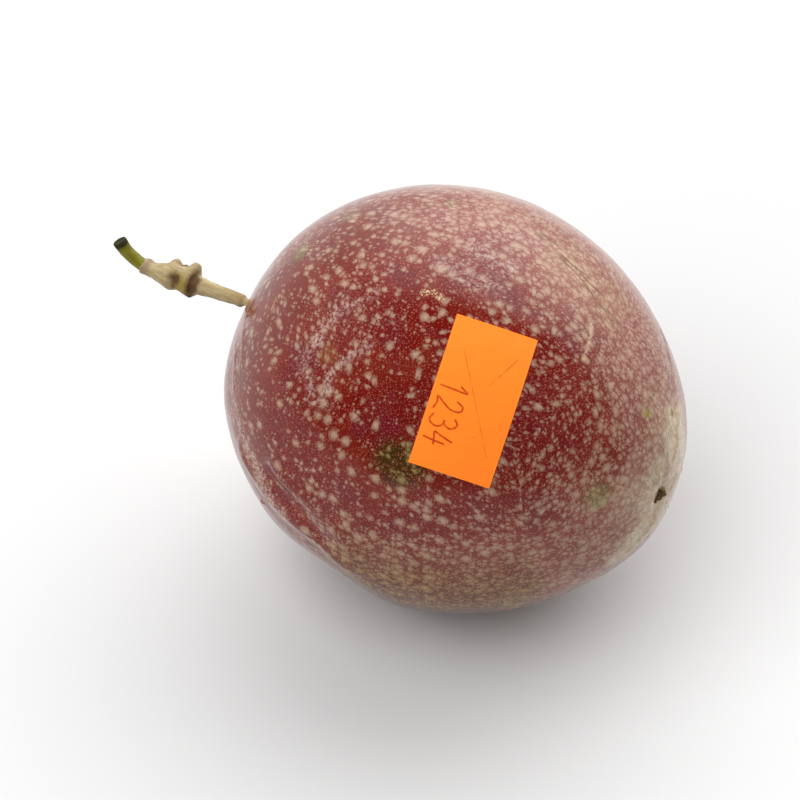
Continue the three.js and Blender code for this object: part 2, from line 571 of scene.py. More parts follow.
class Tone(Enum):
    """What a patch of the rind is like. Each is stored on the mesh as one number."""

    OLIVE = "olive"  # dark green under yellow-green stars
    LEAF = "leaf"  # brownish green under lime spots
    SCAB = "scab"  # a yellow-green crust
    RUST = "rust"  # warm orange brown
    PALE = "pale"  # bleached, nearly without red
    DARK = "dark"  # darker: stained round the stalk and the scar, with painted shade along the lower edge
    OCHRE = "ochre"  # brownish, like the underside
    SCRATCH = "scratch"  # a thin dry line
    BLOOM = "painted_sheen"  # pale streaks of painted reflection and sheen, on a rougher bump
    GLINT = "glint"  # rough, with painted glints
    CREASE = "crease"  # fine lines along the fruit, pressed in by the bump and darkened with painted shade
    TAN = "tan"  # sunburnt, yellowish brown
    CALM = "calm"  # without the finest dots, under a painted haze of sheen
    PLUM = "plum"  # duller and bluer red


@dataclass(frozen=True)
class Speckle:
    """One size of pale spots on the rind, in millimetres.

    Attributes:
        spacing: how far apart the spots are.
        least: the smallest spots' radius.
        range: how much larger the largest are.
        swell: how much larger they are where the rind is densely speckled.
        base: how many there are where the rind is bare, from 0 to 1.
        gain: how many more there are where it is densely speckled.
        strength: how much they hide the red.
        soft: how much of a spot's radius its edge takes.
        seam: how wide a line of ground is left between neighbours.
    """

    spacing: float
    least: float
    range: float
    swell: float
    base: float
    gain: float
    strength: float
    soft: float
    seam: float = 0.0

    def cover(self, g: Graph, vector: Socket, density: Socket, lobes: Socket) -> Socket:
        """Adds this size of spots to a material.

        Args:
            g: the material's graph.
            vector: the place on the flattened rind.
            density: how densely the rind is speckled.
            lobes: noise about 0 that makes the spots' edges uneven.

        Returns:
            How far these spots cover the ground, from 0 to 1.
        """
        distance, size, luck = g.cells(vector, self.spacing)
        radius = g.blend(self.least, (self.range, size), (self.swell, density))
        reach = g.math("ADD", g.math("DIVIDE", distance, radius), lobes)
        edge = g.ease(reach, 1.0, 1.0 - self.soft)
        kept = g.math("LESS_THAN", luck, g.blend(self.base, (self.gain, density)))
        vivid = g.blend(self.strength * FAINTEST, (self.strength * (1 - FAINTEST), size))
        if self.seam:
            edge = g.times(edge, g.ease(g.borders(vector, self.spacing), 0.0, self.seam, 0.3, 1.0))
        return g.times(edge, kept, vivid)


@dataclass(frozen=True)
class Patch:
    """The colours of one tone of the rind.

    Attributes:
        tone: the tone.
        ground: the colour between the spots.
        spots: the colour of the spots.
        soft: how much farther its edge fades out than a clear one's.
    """

    tone: Tone
    ground: Colour
    spots: Colour
    soft: float = 0.0

    def mask(self, g: Graph, amount: Socket, breakup: Socket) -> Socket:
        """Returns how far the patch covers the rind, where the tone has this amount."""
        ragged = g.ease(g.ragged(amount, breakup, 0.7), 0.2 - self.soft, 0.7 + self.soft)
        return g.times(ragged, g.ease(amount, 0.02, 0.3))


@dataclass(frozen=True)
class RindFinish:
    """The waxy speckled skin of a ripe purple passion fruit. Sizes are in millimetres.

    Attributes:
        patches: the tones' colours, each painted over those before it.
        spot_offsets: how far the patterns of the medium spots, the small spots and the dots are moved.
        sheet_gaps: how far apart the flattened sheets lie, by the axis that they face and by their side.
        stirs: the size and the reach of the noise that bends the spots out of round.
        lobe_reach: how uneven the spots' edges are.
        crack_girth, crack_drift: how many cracks lie round the fruit, and how fast they change along it.
    """

    deep: Colour = (0.130, 0.0045, 0.0025)
    warm: Colour = (0.155, 0.012, 0.006)
    plum: Colour = (0.120, 0.011, 0.018)
    bleached: Colour = (0.220, 0.052, 0.038)
    beige: Colour = (0.38, 0.245, 0.160)
    cream: Colour = (0.45, 0.335, 0.235)
    dot: Colour = (0.30, 0.085, 0.055)
    blush: Colour = (0.36, 0.155, 0.110)
    # painted reflection: the colour of the pale streaks and sheen
    sheen_streak_colour: Colour = (0.54, 0.42, 0.38)
    # painted haze of sheen near the edge
    edge_haze_colour: Colour = (0.36, 0.25, 0.20)
    # painted glints
    gold: Colour = (0.62, 0.46, 0.26)
    # painted shade in the fine creases
    crease_shade_colour: Colour = (0.075, 0.022, 0.014)
    scratch: Colour = (0.50, 0.38, 0.24)
    patches: tuple[Patch, ...] = (
        Patch(Tone.OLIVE, (0.050, 0.022, 0.004), (0.30, 0.240, 0.075)),
        Patch(Tone.LEAF, (0.130, 0.080, 0.025), (0.38, 0.31, 0.150)),
        Patch(Tone.RUST, (0.175, 0.038, 0.008), (0.38, 0.245, 0.160)),
        Patch(Tone.OCHRE, (0.110, 0.031, 0.008), (0.37, 0.240, 0.088), 0.25),
        Patch(Tone.TAN, (0.225, 0.078, 0.036), (0.43, 0.305, 0.165), 0.25),
        Patch(Tone.PALE, (0.40, 0.305, 0.195), (0.60, 0.49, 0.350), 0.25),
        Patch(Tone.SCAB, (0.190, 0.130, 0.016), (0.30, 0.220, 0.060)),
        # also painted shade along the lower edge
        Patch(Tone.DARK, (0.045, 0.020, 0.012), (0.045, 0.020, 0.012), 0.25),
    )
    large: Speckle = Speckle(1.9, 0.55, 0.70, 0.20, 0.24, 0.45, 0.85, 1.0, 0.20)
    medium: Speckle = Speckle(1.05, 0.34, 0.38, 0.22, 0.03, 0.92, 0.78, 1.0, 0.20)
    small: Speckle = Speckle(0.62, 0.17, 0.18, 0.08, 0.10, 0.50, 0.55, 0.9)
    dots: Speckle = Speckle(0.36, 0.07, 0.11, 0.02, 0.75, 0.20, 0.95, 0.8)
    spot_offsets: Triple = (37.0, 71.0, 13.0)
    sheet_gaps: Triple = (170.0, 310.0, 530.0)
    stirs: tuple[Pair, ...] = ((1.8, 0.25), (0.4, 0.05))
    lobes: Layer = Layer(29.0, 0.32, 1.0)
    lobe_reach: float = 0.84
    patchy: Layer = Layer(5.0, 7.0, 3.0)
    warmer: Layer = Layer(7.0, 8.0, 3.0)
    bluer: Layer = Layer(23.0, 6.0, 3.0)
    creamier: Layer = Layer(3.0, 3.0, 2.0)
    breakup: Layer = Layer(51.0, 1.2, 3.0, 0.65)
    fine: Layer = Layer(17.0, 0.22, 1.0)
    wisps: Layer = Layer(41.0, 0.6, 5.0, 0.75)
    broad: Layer = Layer(11.0, 1.3, 2.0)
    furrows: Layer = Layer(0.0, 0.9, 2.0)
    crack_girth: float = 26.0
    crack_drift: float = 0.14
    crack_width: float = 0.05
    roughness: float = 0.15
    relief: float = 0.02

    def flattened(self, g: Graph, arm: Socket, shape: RindShape) -> Socket:
        """Returns the place on the rind as laid out flat, on six sheets that lie far apart.

        Args:
            g: the material's graph.
            arm: the place in millimetres from the fruit's middle.
            shape: the fruit's middle and sizes.
        """
        length, width = shape.half_length / MM, shape.half_width / MM
        x, y, z = g.parts(g.stretched(arm, (1 / length, 1 / width, 1 / width)))
        ax, ay, az = (g.math("ABSOLUTE", each) for each in (x, y, z))
        on_x = g.math("GREATER_THAN", ax, g.math("MAXIMUM", ay, az))
        on_y = g.math("GREATER_THAN", ay, az)
        sheets = [g.vector(*each) for each in ((x, y, az), (z, x, ay), (y, z, ax))]
        u, v, w = g.parts(g.by_axis(on_x, on_y, *sheets))
        sign, _, _ = g.parts(g.by_axis(on_x, on_y, *(g.vector(each) for each in (z, y, x))))
        apart = g.blend(0.0, *zip(self.sheet_gaps, (on_x, on_y, g.math("GREATER_THAN", sign, 0.0))))
        flat = [g.times(g.math("ARCTANGENT", g.math("DIVIDE", each, w)), width) for each in (u, v)]
        return g.vector(g.math("ADD", flat[0], apart), flat[1])

    def cracks(self, g: Graph, arm: Socket) -> Socket:
        """Returns how far fine lines that run along the fruit crack the rind.

        Args:
            g: the material's graph.
            arm: the place in millimetres from the fruit's middle.
        """
        across = g.vectors("NORMALIZE", g.stretched(arm, (0.0, 1.0, 1.0)))
        around = g.stretched(across, (self.crack_girth,) * 3)
        drift = g.stretched(arm, (self.crack_drift, 0.0, 0.0))
        furrows = self.furrows.lay(g, g.vectors("ADD", around, drift))
        return g.ease(g.math("ABSOLUTE", g.math("SUBTRACT", furrows, 0.5)), self.crack_width, 0.0)

    def build(self, shape: RindShape) -> Material:
        """Makes the skin's material, which reads the tones and the density from the mesh.

        Args:
            shape: the fruit's middle and sizes.

        Returns:
            The finished material.
        """
        g = Graph.of_material("rind")
        p = g.millimetres()
        tone = {each: g.attribute(each.value) for each in Tone}
        arm = g.vectors("ADD", p, -shape.middle / MM)
        patchy = self.patchy.lay(g, p)
        density = g.blend(-0.2, (1.0, g.attribute("speckling")), (0.4, patchy), (0.25, tone[Tone.OLIVE]))

        # how far the spots and the dots cover the ground
        stirred = arm
        for size, reach in self.stirs:
            stirred = g.stirred(stirred, size, reach)
        flat = self.flattened(g, stirred, shape)
        lobes = g.blend(-self.lobe_reach / 2, (self.lobe_reach, self.lobes.lay(g, p)))
        cover = self.large.cover(g, flat, density, lobes)
        for spots, offset in zip((self.medium, self.small), self.spot_offsets):
            cover = g.math("MAXIMUM", cover, spots.cover(g, g.shifted(flat, offset), density, lobes))
        dots = self.dots.cover(g, g.shifted(flat, self.spot_offsets[2]), density, 0.0)
        dots = g.times(dots, g.ease(tone[Tone.CALM], 0.1, 0.8, 1.0, 0.1))

        # the colours of the ground and of the spots
        ground = g.mix(g.ease(self.warmer.lay(g, p), 0.4, 0.65), self.deep, self.warm)
        bluish = g.ease(self.bluer.lay(g, p), 0.5, 0.7, 0.0, 0.8)
        ground = g.mix(g.math("MAXIMUM", bluish, tone[Tone.PLUM]), ground, self.plum)
        ground = g.mix(g.ease(density, 0.3, 1.0, 0.0, 0.8), ground, self.bleached)
        pale = g.mix(self.creamier.lay(g, p), self.beige, self.cream)
        breakup = self.breakup.lay(g, p)
        for patch in self.patches:
            mask = patch.mask(g, tone[patch.tone], breakup)
            ground = g.mix(mask, ground, patch.ground)
            pale = g.mix(mask, pale, patch.spots)
        ground = g.mix(dots, ground, g.mix(g.ease(density, 0.2, 0.9), self.dot, self.blush))
        colour = g.mix(cover, ground, pale)

        # what lies over them: painted haze, painted reflection streaks, fine lines in painted shade, painted
        # glints and dry scratches
        fine = self.fine.lay(g, p)
        wisps = self.wisps.lay(g, p)
        sheen_streaks = g.times(tone[Tone.BLOOM], g.ease(wisps, 0.36, 0.72))
        cracks = g.times(self.cracks(g, arm), g.ease(tone[Tone.CREASE], 0.15, 0.8))
        glints = g.times(tone[Tone.GLINT], g.ease(fine, 0.5, 0.62))
        dry = g.ease(tone[Tone.SCRATCH], 0.5, 0.95, 0.0, 0.7)
        for mask, tint in (
            (g.times(tone[Tone.CALM], 0.12), self.edge_haze_colour),
            (g.ease(sheen_streaks, 0.02, 1.0, 0.0, 0.75), self.sheen_streak_colour),
            (g.times(cracks, 0.65), self.crease_shade_colour),
            (g.ease(glints, 0.3, 0.8), self.gold),
            (g.times(dry, g.ease(wisps, 0.40, 0.55, 0.25, 1.0)), self.scratch),
        ):
            colour = g.mix(mask, colour, tint)
        rough = g.times(fine, g.math("ADD", tone[Tone.BLOOM], tone[Tone.GLINT]))
        smooth = ((0.5, fine), (0.5, self.broad.lay(g, p)), (0.15, cover))
        height = g.blend(0.0, *smooth, (1.2, rough), (-3.0, cracks))
        roughness = g.blend(self.roughness, (0.10, cover))
        return g.surface(Base_Color=colour, Roughness=roughness, Normal=g.bump(height, self.relief), IOR=1.35)


# ---- the fruit ----


@dataclass(frozen=True)
class Puckers:
    """Fine creases that run out from the scar at the blossom end.

    Attributes:
        jitter: how far one may lie beside its even place, as a share of the gap between two.
        near, far: how many degrees from the scar they begin and end, each as the least and the most.
        swerve: how far they wander to a side, in degrees.
        width, depth: their half widths and depths in millimetres, each as the least and the most.
    """

    scar: Place = Place(5, 130)
    count: int = 16
    jitter: float = 0.3
    near: Pair = (4.0, 6.0)
    far: Pair = (12.0, 20.0)
    swerve: float = 6.0
    width: Pair = (0.35, 0.60)
    depth: Pair = (0.05, 0.16)
    seed: int = 7

    def traces(self) -> list[Trace]:
        """Returns the creases."""
        rng = np.random.default_rng(self.seed)
        centre = self.scar.direction()
        aside = centre.cross(Vector((0, 0, 1))).normalized()
        upward = centre.cross(aside)
        creases = []
        for number in range(self.count):
            turn = 2 * math.pi * (number + rng.uniform(-self.jitter, self.jitter)) / self.count
            heading = swung(aside, upward, turn)
            stops = []
            for reach in np.linspace(rng.uniform(*self.near), rng.uniform(*self.far), 3):
                swerve = math.radians(rng.uniform(-self.swerve, self.swerve))
                way = Matrix.Rotation(swerve, 3, centre) @ heading
                spot = (centre + way * math.tan(math.radians(reach))).normalized()
                stops.append(Place(math.degrees(math.acos(spot.x)), math.degrees(math.atan2(spot.z, spot.y))))
            creases.append(Trace(tuple(stops), rng.uniform(*self.width), -rng.uniform(*self.depth)))
        return creases


@dataclass
class Fruit:
    """The whole body of the fruit, a sphere wrapped over a smooth copy of its CAD solid.

    Attributes:
        survey: how densely the rind is speckled at some places, as (along, around, density).
        softness: how far the survey's places run into each other.
        tones, strongest: the parts of the rind that are unlike the rest, and the most they may add up to.
    """

    node: str = "fruit"
    segments: int = 384
    rings: int = 246
    merge_distance: float = 1e-6
    smoothing_levels: int = 2
    smoothing_passes: int = 6
    grain: Grain = Grain(8.0, 0.22, 1)
    puckers: Puckers = Puckers()
    finish: RindFinish = RindFinish()
    softness: float = 0.01
    strongest: float = 1.5
    folds: tuple[Trace, ...] = (
        # the pinched side, with two ridges and the hollows between them
        line(1.9, 0.75, (130, 177), (119, -180), (108, -176), (96, -174), (87, -164)),
        line(1.6, 0.45, (113, 167), (108, 171), (99, 173), (91, 179), (86, -170)),
        line(1.3, -0.50, (118, 174), (112, 176), (106, 178), (99, -178), (93, -173)),
        # the valley that the scar lies in, and the ridges beside it
        line(1.3, -0.26, *SCAR_VALLEY),
        line(1.2, 0.20, *SCAR_RIDGE),
        line(1.0, 0.25, (10, 2), (6, 18), (2, 29)),
        line(1.0, 0.22, *SIDE_RIDGE),
        line(0.8, 0.16, (18, 84), (14, 97), (10, 112)),
        line(0.7, 0.25, (6, -150), (12, -140), (20, -145)),
        line(0.7, 0.22, (6, 169), (10, -179), (17, -177)),
        # fine creases along the fruit
        line(0.5, -0.10, (79, 67), (70, 72), (63, 72), (55, 74), (49, 71)),
        line(0.5, -0.08, (66, 70), (58, 72), (49, 70)),
        line(0.5, -0.10, (49, 34), (41, 41), (35, 47), (30, 52)),
        # the shoulder by the stalk
        line(0.6, 0.16, (144, 138), (138, 144), (134, 152)),
        line(0.6, 0.14, (146, 146), (140, 153), (136, 162)),
    )
    warts: tuple[Trace, ...] = (
        line(0.45, 0.35, (118, -168)),
        line(0.3, 0.2, (115, -180)),
        line(0.25, 0.22, (11, 3)),
        line(0.25, 0.22, (14, -60)),
        line(0.25, 0.15, (25, -157)),
    )
    survey: tuple[Triple, ...] = (
        (85, 141, 0.05),
        (85, 116, 0.12),
        (111, 148, 0.18),
        (106, 125, 0.42),
        (122, 107, 0.28),
        (131, 161, 0.28),
        (82, 101, 0.30),
        (99, 83, 0.60),
        (86, 61, 0.95),
        (64, 80, 0.75),
        (65, 98, 0.28),
        (44, 76, 0.80),
        (27, 58, 1.00),
        (48, 111, 0.48),
        (52, 123, 0.30),
        (50, 152, 0.48),
        (74, 153, 0.20),
        (31, 124, 0.60),
        (30, 106, 0.74),
        (22, 142, 0.92),
        (19, 168, 0.95),
        (11, 144, 1.00),
        (65, 163, 0.40),
        (59, 178, 0.75),
        (60, -162, 0.80),
        (37, -169, 0.86),
        (112, 160, 0.08),
        (100, 152, 0.02),
        (86, 158, 0.10),
        (98, 162, 0.22),
        (102, 168, 0.28),
        (93, 176, 0.50),
        (83, -175, 0.75),
        (90, -90, 0.80),
        (90, 0, 0.80),
        (160, -90, 0.70),
    )
    tones: tuple[tuple[Tone, Trace], ...] = (
        (Tone.OLIVE, line(3.9, 1.0, (79, 151))),
        (Tone.OLIVE, line(2.6, 0.65, (30, 144))),
        (Tone.LEAF, line(3.2, 0.7, (30, 144))),
        (Tone.LEAF, line(2.2, 0.8, (132, 104))),
        (Tone.LEAF, line(1.8, 0.6, (124, 87))),
        (Tone.LEAF, line(1.6, 0.6, (101, 74))),
        (Tone.LEAF, line(1.6, 0.4, (80, 69))),
        (Tone.LEAF, line(1.2, 0.5, (13, 120))),
        (Tone.LEAF, line(1.9, 0.55, (30, 88))),
        (Tone.SCAB, line(0.9, 0.85, (29, 88))),
        (Tone.SCAB, line(0.8, 0.9, (24, 61))),
        (Tone.RUST, line(1.8, 0.85, (105, 132))),
        (Tone.RUST, line(1.0, 0.9, (25, -157))),
        (Tone.RUST, line(0.8, 0.9, (118, -168))),
        (Tone.PALE, line(0.9, 0.45, *SCAR_RIDGE)),
        (Tone.PALE, line(0.9, 0.45, *SIDE_RIDGE)),
        (Tone.PALE, line(5.5, 0.60, (3, 120))),
        (Tone.PALE, line(7.0, 0.35, (30, 60), (18, 90), (8, 130), (14, 175))),
        (
            Tone.PALE,
            line(2.4, 1.0, (30, 45), (19, 39), (14, 26), (10, 12), (4, -10), (6, -113), (13, -117)),
        ),
        (
            Tone.PALE,
            line(1.5, 0.6, (25, 62), (18, 74), (14, 87), (13, 116), (8, 168), (13, -165), (18, -160)),
        ),
        (Tone.PALE, line(2.6, 0.7, (27, 61), (17, 62), (9, 72), (4, 150), (12, -165), (22, -158))),
        (Tone.PALE, line(3.0, 0.7, (6, -110), (14, -138), (26, -147))),
        (Tone.PALE, line(6.0, 0.4, (10, 0), (12, -60), (10, -100))),
        (Tone.PALE, line(6.0, 0.3, (20, 150))),
        # painted highlight: a pale band along the pinched ridge
        (Tone.PALE, line(1.6, 0.3, (128, 173), (121, 175), (115, -179), (108, -174), (101, -170))),
        (Tone.DARK, line(1.4, 0.9, (178, 90))),
        (Tone.DARK, line(0.8, 0.6, (5, 130))),
        # painted shade along the lower edge, near the floor
        (Tone.DARK, line(4.5, 0.6, (98, -147), (76, -142), (54, -139))),
        (Tone.OCHRE, line(0.9, 0.5, *SCAR_VALLEY)),
        (Tone.OCHRE, line(13.0, 0.9, (100, -158), (62, -153), (42, -148))),
        (Tone.OCHRE, line(16.0, 0.9, (90, -90), (60, -80))),
        (Tone.SCRATCH, line(0.42, 1.2, (56, 83), (53, 89), (51, 99))),
        (Tone.SCRATCH, line(0.4, 0.9, (92, 114), (89, 119))),
        (Tone.SCRATCH, line(0.4, 0.8, (82, 115), (80, 113))),
        # painted reflection and sheen: pale streaks where the lights catch the rind, the pinched ridge's among
        # them
        (
            Tone.BLOOM,
            line(1.5, 1.1, (134, 166), (128, 171), (121, 174), (115, 179), (109, -176), (101, -172)),
        ),
        (Tone.BLOOM, line(0.9, 0.9, (99, 110), (103, 116), (107, 121), (109, 126), (110, 132))),
        (Tone.BLOOM, line(1.5, 0.8, (109, 127), (110, 133), (110, 138), (106, 142), (102, 147))),
        (Tone.BLOOM, line(0.9, 1.0, (95, 123), (97, 128), (100, 132), (102, 138), (100, 142))),
        (Tone.BLOOM, line(1.5, 0.7, (100, 144))),
        (Tone.BLOOM, line(2.3, 0.75, (94, 98), (89, 97), (84, 98), (80, 98), (76, 92))),
        (Tone.BLOOM, line(2.2, 0.85, (92, 87), (86, 88), (81, 88), (75, 86))),
        (Tone.BLOOM, line(4.0, 0.35, (128, 112), (118, 92), (104, 74))),
        # painted glints on a rough patch
        (Tone.GLINT, line(0.75, 0.9, (91, 109), (89, 106), (85, 107))),
        # fine creases, darkened with painted shade
        (Tone.CREASE, line(1.5, 1.0, (82, 66), (70, 70), (63, 71), (55, 73), (47, 74))),
        (Tone.CREASE, line(1.6, 0.7, (52, 31), (41, 41), (35, 47), (28, 52))),
        (Tone.CREASE, line(3.0, 0.5, (26, 70), (17, 84), (14, 105), (17, 135), (19, 160))),
        (Tone.TAN, line(6.5, 0.68, (77, 72), (68, 71), (59, 71), (50, 68))),
        # painted haze of sheen near the edge by the stalk, with fewer fine dots
        (Tone.CALM, line(9.0, 1.1, (150, 170), (138, 150), (133, 125), (128, 104), (121, 88), (108, 70))),
        (Tone.PLUM, line(8.0, 0.5, (60, 112), (50, 125), (46, 142))),
    )

    def guide(self) -> Object:
        """Returns a smooth merged copy of the CAD solid, for the sphere to wrap over."""
        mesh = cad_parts[self.node].data.copy()
        copy = bpy.data.objects.new("guide", mesh)
        bpy.context.scene.collection.objects.link(copy)
        with editing(copy):
            bpy.ops.mesh.remove_doubles(threshold=self.merge_distance)
            bpy.ops.mesh.tris_convert_to_quads()
        levels = self.smoothing_levels
        modify(copy, "SUBSURF", levels=levels, render_levels=levels)
        return copy

    def density(self, units: np.ndarray) -> np.ndarray:
        """Returns how densely the rind is speckled at some points, blended from the surveyed places."""
        anchors = np.array([list(Place(*angles).direction()) for *angles, _ in self.survey])
        amounts = np.array([amount for *_, amount in self.survey])
        gaps = 2 - 2 * units @ anchors.T
        weights = 1 / (gaps + self.softness) ** 2
        return (weights * amounts).sum(axis=1) / weights.sum(axis=1)

    def build(self, shape: RindShape) -> Object:
        """Makes the fruit's mesh and dresses it.

        Args:
            shape: the fruit's middle and sizes.

        Returns:
            The finished object.
        """
        guide = self.guide()
        body = start(
            "passion_fruit",
            bpy.ops.mesh.primitive_uv_sphere_add,
            segments=self.segments,
            ring_count=self.rings,
            radius=shape.half_width,
            location=shape.middle,
            rotation=(0.0, math.pi / 2, 0.0),
        )
        settle(body)
        modify(body, "SHRINKWRAP", target=guide, wrap_method="NEAREST_SURFACEPOINT")
        remove(guide)
        smooth(body, self.smoothing_passes)
        units, radii = shape.to_ball(points(body))
        traces = (*self.folds, *self.warts, *self.puckers.traces())
        push(body, "relief", sum(trace.strength(units, radii) for trace in traces) * MM)
        self.grain.roughen(body)
        note_kinds(body, self.tones, self.strongest, units, radii)
        note(body, "speckling", self.density(units))
        hand_over(body, self.finish.build(shape), "fruit_skin", self.node)
        return body


# ---- the stalk ----


@dataclass(frozen=True)
class Mark:
    """A lump, a hollow, or a patch of staining or of painted shade on the stalk.

    Attributes:
        at: its distance from the root in millimetres.
        angle: its angle about the stalk in degrees, from the upper side, 0, to the far side, 90.
        amount: how high it is in millimetres, or how strong.
        length: its half length in millimetres.
        spread: its half width in degrees.
    """

    at: float
    angle: float
    amount: float
    length: float
    spread: float

    def strength(self, along: np.ndarray, angles: np.ndarray) -> np.ndarray:
        """Returns how strong the mark is at some places on the stalk."""
        aside = (angles - self.angle + 180) % 360 - 180
        return self.amount * np.exp(-(((along - self.at) / self.length) ** 2) - (aside / self.spread) ** 2)


@dataclass(frozen=True)
class StalkLine:
    """The line that the stalk follows from its root: straight, then bent upwards. Sizes are in millimetres.

    In the stalk's own frame X is the side it bends to, Y is the far side, and Z is its heading at the root.
    """

    root: Place = Place(177.5, 90)
    heading: Triple = (-1.0, -0.06, -0.063)
    bend_start: float = 19.6
    bend_radius: float = 7.3

    def frame(self, shape: RindShape, rind: Object) -> Matrix:
        """Returns the stalk's own frame, with its origin where it leaves the rind."""
        spot, _ = shape.find(rind, self.root)
        heading = Vector(self.heading).normalized()
        side = heading.cross(Vector((0, 0, 1))).normalized()
        return Matrix.Translation(spot) @ Matrix((side.cross(heading), side, heading)).transposed().to_4x4()

    def turn(self, at: float) -> float:
        """Returns how far the stalk has bent at a distance from the root, in radians."""
        return max(0.0, at - self.bend_start) / self.bend_radius

    def centre(self, at: float) -> Vector:
        """Returns the stalk's centre at a distance from the root, in metres in its own frame."""
        turn = self.turn(at)
        forward = min(at, self.bend_start) + self.bend_radius * math.sin(turn)
        return Vector((self.bend_radius * (1 - math.cos(turn)), 0, forward)) * MM

    def pivot(self) -> Vector:
        """Returns the middle of the bend, in metres in the stalk's own frame."""
        return Vector((self.bend_radius, 0, self.bend_start)) * MM

    def unrolled(self, places: np.ndarray) -> tuple[np.ndarray, np.ndarray]:
        """Returns the distances from the root and the angles about the stalk of some points in its frame."""
        x, y, z = (places / MM).T
        beyond = z > self.bend_start
        arm = self.bend_radius - x
        rise = z - self.bend_start
        along = np.where(beyond, self.bend_start + self.bend_radius * np.arctan2(rise, arm), z)
        out = np.where(beyond, self.bend_radius - np.hypot(arm, rise), x)
        return along, np.degrees(np.arctan2(y, out))


class StainAndShade(Enum):
    """What discolours the dry stalk: staining, and painted shade in its hollows. Each is stored on the mesh as
    one number.
    """

    TAN = "tan"
    ROSY = "rosy"
    OLIVE = "olive"
    BROWN = "brown"


@dataclass(frozen=True)
class DryFinish:
    """Dry straw-coloured stalk, with the colour of each kind of staining and of the painted shade in its
    hollows, and how much it covers at most.
    """

    straw: Colour = (0.29, 0.215, 0.100)
    cream: Colour = (0.38, 0.305, 0.165)
    tints: tuple[tuple[StainAndShade, Colour, float], ...] = (
        (StainAndShade.TAN, (0.25, 0.150, 0.055), 0.8),
        (StainAndShade.ROSY, (0.23, 0.155, 0.105), 0.8),
        (StainAndShade.OLIVE, (0.24, 0.175, 0.030), 0.9),
        # brown: real staining, and painted shade in the knot's hollows
        (StainAndShade.BROWN, (0.076, 0.036, 0.011), 0.95),
    )
    fibres: Layer = Layer(0.0, 0.7, 3.0, 0.55)
    grain_along: float = 0.15
    mottle: Layer = Layer(5.0, 0.7, 3.0, 0.6)
    relief: float = 0.12

    def build(self) -> Material:
        """Makes the dry stalk's material."""
        g = Graph.of_material("dry_stalk")
        p = g.millimetres()
        fibres = self.fibres.lay(g, g.stretched(p, (self.grain_along, 1.0, 1.0)))
        mottle = self.mottle.lay(g, p)
        colour = g.mix(g.ease(fibres, 0.35, 0.65), self.straw, self.cream)
        for stain_and_shade, tint, most in self.tints:
            mask = g.ease(g.ragged(g.attribute(stain_and_shade.value), mottle, 0.5), 0.10, 0.95, 0.0, most)
            colour = g.mix(mask, colour, tint)
        height = g.blend(0.0, (0.6, fibres), (0.4, mottle))
        return g.surface(Base_Color=colour, Roughness=0.7, Normal=g.bump(height, self.relief), IOR=1.4)


